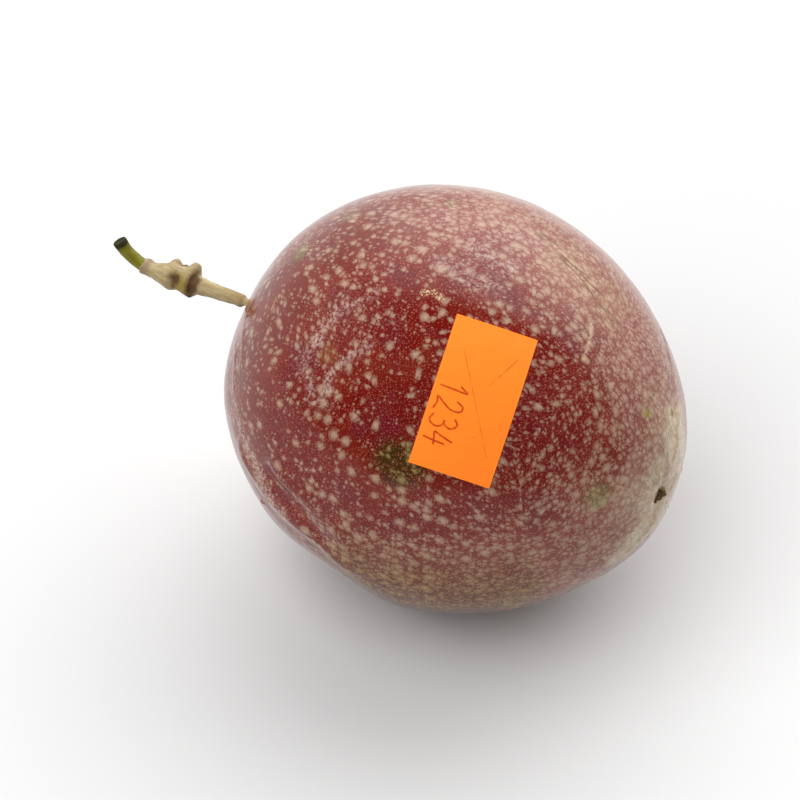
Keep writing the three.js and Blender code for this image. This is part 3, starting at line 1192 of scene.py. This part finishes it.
@dataclass
class DryStalk:
    """The dry part of the stalk: a neck, a shank, a knot with two rows of broken scars, and a torn collar.

    Attributes:
        profile: its radius at some distances from the root, in millimetres.
        rim_width, rim_depth: how thick the collar's wall is, and how deep its socket.
        teeth_start, teeth_height: where the collar's torn edge begins, and how long its teeth are.
        teeth_waves: how many teeth each of its waves has, and how far it is turned in degrees.
    """

    node: str = "dry_stalk"
    sides: int = 32
    step: float = 0.3
    finish: DryFinish = DryFinish()
    grain: Grain = Grain(1.1, 0.16)
    profile: tuple[Pair, ...] = (
        (-0.4, 0.95),
        (0.1, 0.78),
        (1.2, 0.62),
        (2.4, 0.57),
        (3.1, 0.62),
        (3.5, 0.98),
        (3.9, 1.02),
        (6.0, 1.08),
        (8.0, 1.17),
        (10.0, 1.30),
        (11.2, 1.46),
        (11.9, 1.50),
        (12.5, 2.00),
        (13.1, 2.25),
        (13.8, 2.10),
        (14.6, 1.85),
        (15.2, 1.80),
        (15.9, 2.00),
        (16.6, 2.20),
        (17.3, 2.10),
        (18.0, 1.85),
        (18.8, 1.60),
        (19.6, 1.38),
        (20.4, 1.28),
        (21.3, 1.24),
        (22.1, 1.24),
    )
    rim_width: float = 0.12
    rim_depth: float = 0.9
    lumps: tuple[Mark, ...] = (
        # the row of scars nearer the fruit, and the hollows before it
        Mark(13.2, 51, 1.15, 0.75, 32),
        Mark(12.7, -129, 0.20, 0.35, 20),
        Mark(12.9, 171, 0.4, 0.6, 28),
        Mark(12.2, -20, -0.32, 0.45, 25),
        Mark(12.2, -75, -0.32, 0.45, 25),
        # the saddle between the rows
        Mark(14.1, -68, 0.12, 0.95, 34),
        Mark(15.5, -48, -0.50, 0.7, 24),
        Mark(14.9, 52, 0.75, 0.9, 28),
        Mark(15.0, 12, 0.20, 1.2, 14),
        Mark(14.8, 130, -0.3, 0.8, 25),
        # the farther row
        Mark(16.7, 51, 0.80, 0.7, 28),
        Mark(16.4, -129, -0.05, 1.4, 40),
        Mark(16.6, 171, 0.35, 0.7, 30),
        # the torn collar
        Mark(21.3, 45, 0.20, 0.6, 30),
        Mark(21.7, -140, 0.12, 0.4, 30),
        Mark(3.9, -129, 0.12, 0.4, 45),
    )
    teeth_start: float = 21.2
    teeth_height: float = 0.14
    teeth_waves: tuple[Pair, ...] = ((5, 40), (9, 0))
    stains_and_shade: tuple[tuple[StainAndShade, Mark], ...] = (
        # brown in the hollows and between the scars is painted shade as well as staining
        (StainAndShade.BROWN, Mark(11.9, -10, 1.2, 0.9, 36)),
        (StainAndShade.BROWN, Mark(12.0, -75, 1.2, 0.9, 42)),
        (StainAndShade.BROWN, Mark(12.9, -132, 0.8, 0.7, 30)),
        (StainAndShade.BROWN, Mark(15.0, -48, 1.1, 1.10, 36)),
        (StainAndShade.BROWN, Mark(14.9, 44, 1.0, 1.5, 14)),
        (StainAndShade.BROWN, Mark(15.4, -100, 0.5, 0.6, 30)),
        (StainAndShade.BROWN, Mark(12.4, 35, 0.4, 0.4, 25)),
        (StainAndShade.BROWN, Mark(14.6, 150, 0.8, 0.9, 30)),
        (StainAndShade.BROWN, Mark(0.0, 0, 0.5, 0.8, 360)),
        (StainAndShade.OLIVE, Mark(13.7, -66, 0.95, 1.5, 50)),
        (StainAndShade.OLIVE, Mark(14.4, -115, 0.9, 1.0, 35)),
        (StainAndShade.OLIVE, Mark(15.6, -20, 0.5, 0.8, 18)),
        (StainAndShade.OLIVE, Mark(1.8, -90, 0.5, 1.2, 90)),
        (StainAndShade.ROSY, Mark(21.4, -60, 0.75, 1.0, 120)),
        (StainAndShade.ROSY, Mark(21.0, 50, 1.0, 0.8, 40)),
        (StainAndShade.ROSY, Mark(12.9, -40, 0.5, 0.8, 30)),
        (StainAndShade.TAN, Mark(5.0, 30, 0.9, 2.6, 45)),
        (StainAndShade.TAN, Mark(3.8, -60, 0.4, 0.8, 80)),
        (StainAndShade.TAN, Mark(11.3, -40, 0.5, 1.0, 60)),
    )

    def sweep(self, line: StalkLine) -> Object:
        """Returns the stalk's round body in its own frame, extruded step by step along its line."""
        marks, radii = zip(*self.profile)
        stops = np.append(np.arange(marks[0], marks[-1], self.step), marks[-1])
        sizes = np.interp(stops, marks, radii)
        body = start(
            "stalk_dry",
            bpy.ops.mesh.primitive_circle_add,
            vertices=self.sides,
            radius=sizes[0] * MM,
            fill_type="NGON",
            location=line.centre(stops[0]),
        )
        settle(body)
        with editing(body):
            for before, at, old, new in zip(stops, stops[1:], sizes, sizes[1:]):
                straight = min(at, line.bend_start) - min(before, line.bend_start)
                bpy.ops.mesh.extrude_region_move(TRANSFORM_OT_translate={"value": (0, 0, straight * MM)})
                bend = line.turn(at) - line.turn(before)
                if bend > 0:
                    bpy.ops.transform.rotate(value=-bend, orient_axis="Y", center_override=line.pivot())
                bpy.ops.transform.resize(value=(new / old,) * 3, center_override=line.centre(at))
            bpy.ops.mesh.inset(thickness=self.rim_width * MM, depth=0)
            bpy.ops.mesh.inset(thickness=0, depth=-self.rim_depth * MM)
        modify(body, "SUBSURF", levels=2, render_levels=2)
        return body

    def build(self, line: StalkLine, frame_at_root: Matrix) -> Object:
        """Makes the dry stalk.

        Args:
            line: the line that it follows.
            frame_at_root: its own frame.

        Returns:
            The finished object.
        """
        body = self.sweep(line)
        outward(body)
        along, angles = line.unrolled(points(body))
        push(body, "lumps", sum(mark.strength(along, angles) for mark in self.lumps) * MM)
        waves = sum(np.sin(np.radians(angles * count + turn)) for count, turn in self.teeth_waves)
        teeth = np.clip(along - self.teeth_start, 0, 1) * waves
        push(body, "teeth", teeth * self.teeth_height * MM, "Z")
        note_kinds(body, self.stains_and_shade, 1.0, along, angles)
        body.matrix_world = frame_at_root
        settle(body)
        self.grain.roughen(body)
        hand_over(body, self.finish.build(), "dry_stalk", self.node)
        return body


@dataclass(frozen=True)
class GreenFinish:
    """Fresh green skin with a darker cut end. Sizes are in millimetres."""

    fresh: Colour = (0.175, 0.165, 0.010)
    dull: Colour = (0.140, 0.122, 0.012)
    cut: Colour = (0.028, 0.025, 0.006)
    mottle: Layer = Layer(0.0, 1.2, 3.0)
    fibres: Layer = Layer(5.0, 0.25, 3.0)
    relief: float = 0.04

    def build(self) -> Material:
        """Makes the green stalk's material."""
        g = Graph.of_material("green_stalk")
        p = g.millimetres()
        mottle = self.mottle.lay(g, p)
        fibres = self.fibres.lay(g, p)
        end = g.attribute("end")
        colour = g.mix(g.ease(mottle, 0.35, 0.65), self.fresh, self.dull)
        colour = g.mix(g.ease(g.ragged(end, fibres, 0.24), 0.35, 0.8), colour, self.cut)
        height = g.blend(0.0, (0.7, fibres), (0.3, mottle))
        roughness = g.blend(0.55, (0.35, end))
        return g.surface(Base_Color=colour, Roughness=roughness, Normal=g.bump(height, self.relief), IOR=1.33)


@dataclass
class GreenStalk:
    """The fresh stub that comes out of the collar and bends upwards to its cut end."""

    node: str = "green_stalk"
    begin: float = 21.4
    end: float = 27.5
    radius: float = 1.05
    flare: float = 0.10
    flare_length: float = 1.2
    sides: int = 48
    steps: int = 60
    rim: float = 0.14
    dish: float = 0.12
    finish: GreenFinish = GreenFinish()
    grain: Grain = Grain(1.5, 0.10)

    def build(self, line: StalkLine, frame_at_root: Matrix) -> Object:
        """Makes the green stalk by turning a disc about the middle of the bend.

        Args:
            line: the line that it follows.
            frame_at_root: the stalk's own frame.

        Returns:
            The finished object.
        """
        body = start(
            "stalk_green",
            bpy.ops.mesh.primitive_circle_add,
            vertices=self.sides,
            radius=self.radius * MM,
            fill_type="NGON",
            location=line.centre(self.begin),
            rotation=(0, line.turn(self.begin), 0),
        )
        settle(body)
        with editing(body):
            turn = line.turn(self.end) - line.turn(self.begin)
            bpy.ops.mesh.spin(steps=self.steps, angle=-turn, center=line.pivot(), axis=(0, 1, 0))
            bpy.ops.mesh.inset(thickness=self.rim * MM, depth=0)
            bpy.ops.mesh.inset(thickness=self.rim * MM, depth=-self.dish * MM)
        outward(body)
        along, _ = line.unrolled(points(body))
        near_end = np.exp(-(((along - self.end) / self.flare_length) ** 2))
        push(body, "flare", self.flare * near_end * MM)
        note(body, "end", near_end)
        body.matrix_world = frame_at_root
        settle(body)
        self.grain.roughen(body)
        hand_over(body, self.finish.build(), "green_stalk", self.node)
        return body


# ---- the blossom end ----


@dataclass(frozen=True)
class NubFinish:
    """Dried remains of the blossom, dark in the middle with brown and yellowish lobes."""

    dark: Colour = (0.040, 0.030, 0.010)
    brown: Colour = (0.110, 0.050, 0.016)
    yellow: Colour = (0.26, 0.19, 0.06)
    roughness: Layer = Layer(0.0, 0.35, 4.0, 0.7)
    relief: float = 0.10

    def build(self) -> Material:
        """Makes the nub's material."""
        g = Graph.of_material("dry_style")
        p = g.millimetres()
        rough = self.roughness.lay(g, p)
        colour: Any = self.dark
        for name, tint, share in (("lobe", self.brown, 0.6), ("tip", self.yellow, 0.4)):
            mask = g.ease(g.ragged(g.attribute(name), rough, share), 0.3, 0.8)
            colour = g.mix(mask, colour, tint)
        return g.surface(Base_Color=colour, Roughness=0.75, Normal=g.bump(rough, self.relief), IOR=1.4)


@dataclass
class StyleNub:
    """The small rough star that the blossom left, melted together from balls.

    Attributes:
        lobes: each ball's angle about the middle in degrees, distance from it, radius and height above the
            rind, in millimetres.
        lobe_start, lobe_fade: how far from the middle the brown begins, and how soon it is full.
        tip_angle: in which direction the tip is yellowish, in degrees.
        tip_start, tip_fade: how far in that direction the yellow begins, and how soon it is full.
    """

    node: str = "style_remnant"
    place: Place = Place(5, 130)
    lobes: tuple[tuple[float, float, float, float], ...] = (
        (0, 0.0, 0.48, 0.30),
        (66, 0.68, 0.36, 0.42),
        (70, 1.20, 0.27, 0.56),
        (192, 0.70, 0.40, 0.24),
        (200, 1.28, 0.32, 0.14),
        (255, 0.75, 0.36, 0.18),
        (330, 0.70, 0.38, 0.38),
        (324, 1.20, 0.28, 0.34),
        (20, 0.66, 0.30, 0.40),
        (130, 0.60, 0.28, 0.20),
    )
    lobe_start: float = 0.45
    lobe_fade: float = 0.5
    tip_angle: float = 68.0
    tip_start: float = 0.7
    tip_fade: float = 0.4
    voxel: float = 0.05
    smoothing_passes: int = 3
    grain: Grain = Grain(0.35, 0.22)
    finish: NubFinish = NubFinish()

    def build(self, shape: RindShape, rind: Object) -> Object:
        """Makes the nub on the rind.

        Args:
            shape: the fruit's middle and sizes.
            rind: the fruit.

        Returns:
            The finished object.
        """
        spot, normal = shape.find(rind, self.place)
        aside = (Vector((0, 1, 0)) - normal * normal.y).normalized()
        upward = normal.cross(aside)
        balls = []
        for angle, distance, radius, height in self.lobes:
            arm = swung(aside, upward, math.radians(angle))
            where = spot + (arm * distance + normal * height) * MM
            add = bpy.ops.mesh.primitive_ico_sphere_add
            balls.append(start("style_nub", add, subdivisions=3, radius=radius * MM, location=where))
        for ball in balls:
            ball.select_set(True)
        bpy.ops.object.join()
        body = bpy.context.object
        body.name = "style_nub"
        settle(body)
        modify(body, "REMESH", mode="VOXEL", voxel_size=self.voxel * MM)
        smooth(body, self.smoothing_passes)
        self.grain.roughen(body)
        arms = (points(body) - np.array(spot)) / MM
        toward_tip = arms @ np.array(swung(aside, upward, math.radians(self.tip_angle)))
        note(body, "lobe", np.clip((np.linalg.norm(arms, axis=1) - self.lobe_start) / self.lobe_fade, 0, 1))
        note(body, "tip", np.clip((toward_tip - self.tip_start) / self.tip_fade, 0, 1))
        hand_over(body, self.finish.build(), "dry_style", self.node)
        return body


# ---- the price label ----


class Stroke(Enum):
    """What draws on the label. Each is stored on the mesh as a distance from its lines."""

    PEN = "pen"
    CREASE = "crease"


@dataclass(frozen=True)
class LabelFinish:
    """Bright orange paper with red pen strokes and thin creases. Sizes are in millimetres."""

    paper: Colour = (1.0, 0.215, 0.018)
    glow: Colour = (1.0, 0.18, 0.01)
    glow_strength: float = 0.12
    ink: Colour = (0.40, 0.035, 0.004)
    crease: Colour = (0.20, 0.045, 0.008)
    pen_width: float = 0.30
    crease_width: float = 0.11

    def build(self) -> Material:
        """Makes the label's material."""
        g = Graph.of_material("label_paper")
        p = g.millimetres()
        cloudy = g.noise(p, 2.5, 3.0)
        fibres = g.noise(p, 0.2, 2.0)
        paper = g.mix(g.ease(cloudy, 0.35, 0.75, 0.0, 0.08), self.paper, self.ink)
        half = self.pen_width / 2
        uneven = g.noise(g.shifted(p, 9.0), 0.5, 2.0)
        pen = g.ease(g.attribute(Stroke.PEN.value), half * 1.35, half * 0.55)
        pen = g.times(pen, g.ease(uneven, 0.25, 0.6, 0.6, 0.95))
        half = self.crease_width / 2
        crease = g.ease(g.attribute(Stroke.CREASE.value), half * 1.8, half * 0.6, 0.0, 0.8)
        crease = g.times(crease, g.ease(g.noise(g.shifted(p, 31.0), 0.9, 2.0), 0.35, 0.6, 0.35, 1.0))
        colour = g.mix(crease, g.mix(pen, paper, self.ink), self.crease)
        return g.surface(
            Base_Color=colour,
            Roughness=0.62,
            IOR=1.3,
            Normal=g.bump(g.blend(0.0, (0.5, fibres), (0.5, cloudy)), 0.012),
            Emission_Color=g.mix(pen, self.glow, (0.4, 0.02, 0.0)),
            Emission_Strength=self.glow_strength,
        )


@dataclass
class PriceLabel:
    """A small paper rectangle stuck to the rind, with numbers written down it by hand.

    The label's own directions are across, along its short side, and down, along its long side.

    Attributes:
        turn: how far it is turned about its middle, in degrees.
        gap, lift: how far it lies from the rind, and how far before it is laid down, in millimetres.
        digits: each digit's strokes, by shares of its width and height.
        creases, specks: its folds and its small dents, by shares of its width and length.
    """

    node: str = "price_label"
    place: Place = Place(68.5, 127.4)
    width: float = 12.0
    length: float = 22.0
    turn: float = 7.0
    thickness: float = 0.09
    gap: float = 0.05
    lift: float = 5.0
    smoothing_passes: int = 20
    columns: int = 104
    rows: int = 190
    finish: LabelFinish = LabelFinish()
    digit_height: float = 4.0
    digit_width: float = 1.75
    digit_pitch: float = 2.45
    stroke_steps: int = 6
    first_digit: Pair = (0.9, 9.4)
    digits: tuple[tuple[tuple[Pair, ...], ...], ...] = (
        (((0.2, 0.72), (0.6, 1.0), (0.55, 0.5), (0.5, 0.0)),),
        (
            (
                *((0.05, 0.75), (0.3, 0.98), (0.75, 0.95), (0.8, 0.62)),
                *((0.4, 0.3), (0.0, 0.03), (0.5, 0.07), (1.0, 0.0)),
            ),
        ),
        (
            ((0.05, 0.88), (0.45, 1.0), (0.85, 0.82), (0.7, 0.58), (0.35, 0.52)),
            ((0.35, 0.52), (0.8, 0.46), (0.95, 0.22), (0.6, 0.0), (0.1, 0.08)),
        ),
        (
            ((0.45, 1.0), (0.2, 0.6), (0.0, 0.32), (0.5, 0.36), (1.0, 0.4)),
            ((0.75, 0.75), (0.7, 0.35), (0.6, 0.0)),
        ),
    )
    creases: tuple[tuple[Pair, Pair], ...] = (
        ((0.20, 0.20), (0.85, 0.82)),
        ((0.85, 0.16), (0.62, 0.38)),
    )
    specks: tuple[Pair, ...] = ((0.25, 0.05), (0.7, 0.05), (0.62, 0.72), (0.55, 0.9))
    speck: Pair = (0.15, 0.05)

    def pen_lines(self) -> list[np.ndarray]:
        """Returns the written strokes as rows of (across, down) in millimetres from the top left corner."""
        strokes = []
        left, top = self.first_digit
        for number, digit in enumerate(self.digits):
            for stroke in digit:
                flat = smooth_path([Vector(stop) for stop in stroke], self.stroke_steps)
                across = left + flat[:, 1] * self.digit_height
                down = top + number * self.digit_pitch + flat[:, 0] * self.digit_width
                strokes.append(np.column_stack([across, down]))
        return strokes

    def crease_lines(self) -> list[np.ndarray]:
        """Returns the creases and specks as rows of (across, down) in millimetres."""
        size = np.array([self.width, self.length])
        lines = [np.array(ends) * size for ends in self.creases]
        return lines + [np.array([spot, spot]) * size + [(0, 0), self.speck] for spot in self.specks]

    @staticmethod
    def distance(places: np.ndarray, lines: Sequence[np.ndarray]) -> np.ndarray:
        """Returns the distance of each place from the nearest of some polylines."""
        best = np.full(len(places), FAR_AWAY)
        for rows in lines:
            for a, b in zip(rows, rows[1:]):
                run = b - a
                share = np.clip((places - a) @ run / max(run @ run, TINY), 0, 1)
                best = np.minimum(best, np.linalg.norm(places - a - share[:, None] * run, axis=1))
        return best

    def build(self, shape: RindShape, rind: Object) -> Object:
        """Makes the label and lays it on the rind.

        Args:
            shape: the fruit's middle and sizes.
            rind: the fruit, which the label bends with.

        Returns:
            The finished object.
        """
        spot, normal = shape.find(rind, self.place)
        across = (Vector((1, 0, 0)) - normal * normal.x).normalized()
        across = Matrix.Rotation(math.radians(self.turn), 3, normal) @ across
        upward = normal.cross(across)
        sheet = start(
            "label_sticker",
            bpy.ops.mesh.primitive_grid_add,
            x_subdivisions=self.columns,
            y_subdivisions=self.rows,
            size=MM,
        )
        sheet.scale = (self.width, self.length, 1)
        settle(sheet)
        flat = points(sheet) / MM
        places = np.column_stack([flat[:, 0] + self.width / 2, self.length / 2 - flat[:, 1]])
        note(sheet, Stroke.PEN.value, self.distance(places, self.pen_lines()))
        note(sheet, Stroke.CREASE.value, self.distance(places, self.crease_lines()))
        axes = Matrix((across, upward, normal)).transposed().to_4x4()
        sheet.matrix_world = Matrix.Translation(spot + normal * self.lift * MM) @ axes
        modify(
            sheet,
            "SHRINKWRAP",
            target=rind,
            wrap_method="PROJECT",
            use_project_z=True,
            use_negative_direction=True,
            use_positive_direction=False,
            offset=self.gap * MM,
        )
        smooth(sheet, self.smoothing_passes, use_x=False, use_y=False)
        settle(sheet)
        modify(sheet, "SOLIDIFY", thickness=self.thickness * MM, offset=1.0)
        hand_over(sheet, self.finish.build(), "label_paper", self.node)
        return sheet


# ---- the studio ----


def toward(azimuth: float, elevation: float) -> Vector:
    """Returns the unit vector in a direction, by its angle from +X and its height in degrees."""
    a, e = math.radians(azimuth), math.radians(elevation)
    return Vector((math.cos(a) * math.cos(e), math.sin(a) * math.cos(e), math.sin(e)))


@dataclass(frozen=True)
class Window:
    """A brighter or darker round part of the tent with a soft edge.

    Attributes:
        azimuth: its middle's angle from +X in degrees.
        elevation: its middle's height in degrees.
        radius: where it has faded out, in degrees.
        strength: how much brighter its middle is, or how much darker where it is negative.
    """

    azimuth: float
    elevation: float
    radius: float
    strength: float

    def glow(self, g: Graph, direction: Socket) -> Socket:
        """Returns how bright the window is in a direction."""
        cosine = g.cosine(direction, toward(self.azimuth, self.elevation))
        return g.ease(cosine, math.cos(math.radians(self.radius)), 1.0, 0.0, self.strength)


@dataclass
class Studio:
    """The floor, the lights and the camera. Lengths are in metres, and angles in degrees.

    Attributes:
        tent, opening: how bright the tent is, and how much of that is left in its opening.
        opening_axis: the angle from +X and the height of the opening's middle.
        opening_angle, opening_edge: how wide the opening is, and how soft its edge.
    """

    azimuth: float = 32.4
    elevation: float = 46.0
    distance: float = 0.42
    camera_offset: Pair = (-0.0087, 0.00035)
    lens: float = 124.7
    nearest: float = 0.01
    floor_size: float = 6.0
    floor_albedo: float = 0.6
    tent: float = 0.9
    opening: float = 0.05
    opening_axis: Pair = (-56.0, 34.0)
    opening_angle: float = 67.5
    opening_edge: float = 0.02
    windows: tuple[Window, ...] = (
        Window(105, 44, 50, 3.3),
        Window(62, 20, 42, 1.4),
        Window(-132, 14, 34, -0.6),
    )
    key_distance: float = 1.6
    key_size: float = 1.6
    key_power: float = 30.0
    key_azimuth: float = -20.0
    key_elevation: float = 55.0

    @staticmethod
    def aim(
        thing: Object, azimuth: float, elevation: float, distance: float, offset: Pair = (0.0, 0.0)
    ) -> None:
        """Stands something round the fruit, looking at it.

        Args:
            thing: the object to place.
            azimuth: its angle round the fruit in degrees, from -Y towards +X.
            elevation: its angle above the fruit's middle in degrees.
            distance: how far it stands from the fruit, in metres.
            offset: how far it is moved to its own right and upwards, in metres.
        """
        back, right = toward(azimuth - 90, elevation), toward(azimuth, 0)
        upward = back.cross(right)
        bpy.context.scene.collection.objects.link(thing)
        turn = Matrix((right, upward, back)).transposed().to_4x4()
        where = RindShape.measured().middle + back * distance + right * offset[0] + upward * offset[1]
        thing.matrix_world = Matrix.Translation(where) @ turn

    def place_camera(self) -> None:
        """Adds the camera, which looks down on the fruit from its blossom side."""
        data = bpy.data.cameras.new("camera")
        data.lens = self.lens
        data.clip_start = self.nearest
        camera = bpy.data.objects.new("camera", data)
        self.aim(camera, self.azimuth, self.elevation, self.distance, self.camera_offset)
        bpy.context.scene.camera = camera

    def lay_floor(self) -> None:
        """Adds a plain pale floor."""
        floor = start("floor", bpy.ops.mesh.primitive_plane_add, size=self.floor_size)
        g = Graph.of_material("floor")
        floor.data.materials.append(g.surface(Base_Color=(self.floor_albedo,) * 3, Roughness=0.8))

    def light_key(self) -> None:
        """Adds one large soft light above the camera."""
        data = bpy.data.lights.new("key", "AREA")
        data.size = self.key_size
        data.energy = self.key_power
        key = bpy.data.objects.new("key", data)
        self.aim(key, self.key_azimuth, self.key_elevation, self.key_distance)
        key.visible_glossy = False

    def light_tent(self) -> None:
        """Lights the room with a pale tent that is open on the viewer's side."""
        world = bpy.data.worlds.new("tent")
        bpy.context.scene.world = world
        g = Graph(world)
        direction = g.node("TexCoord", {}).outputs["Generated"]
        strength: Any = self.tent
        for window in self.windows:
            strength = g.math("ADD", window.glow(g, direction), strength)
        facing = g.cosine(direction, toward(*self.opening_axis))
        edge = math.cos(math.radians(self.opening_angle))
        low, high = edge - self.opening_edge, edge + self.opening_edge
        strength = g.times(strength, g.ease(facing, low, high, 1.0, self.opening))
        background = g.node("Background", {"Strength": strength})
        g.node("OutputWorld", {0: background.outputs[0]})

    def build(self) -> None:
        """Sets up the whole studio."""
        self.place_camera()
        self.lay_floor()
        self.light_key()
        self.light_tent()
        bpy.context.scene.view_settings.view_transform = "Standard"
        log.info("studio: camera at %.1f degrees round and %.1f up", self.azimuth, self.elevation)


# ---- the whole scene ----


def main() -> None:
    """Builds the studio and each piece in order."""
    logging.basicConfig(level=logging.INFO, format="%(name)s: %(message)s")
    shape = RindShape.measured()
    Studio().build()
    rind = Fruit().build(shape)
    line = StalkLine()
    frame_at_root = line.frame(shape, rind)
    DryStalk().build(line, frame_at_root)
    GreenStalk().build(line, frame_at_root)
    StyleNub().build(shape, rind)
    PriceLabel().build(shape, rind)


if __name__ == "__main__":
    main()
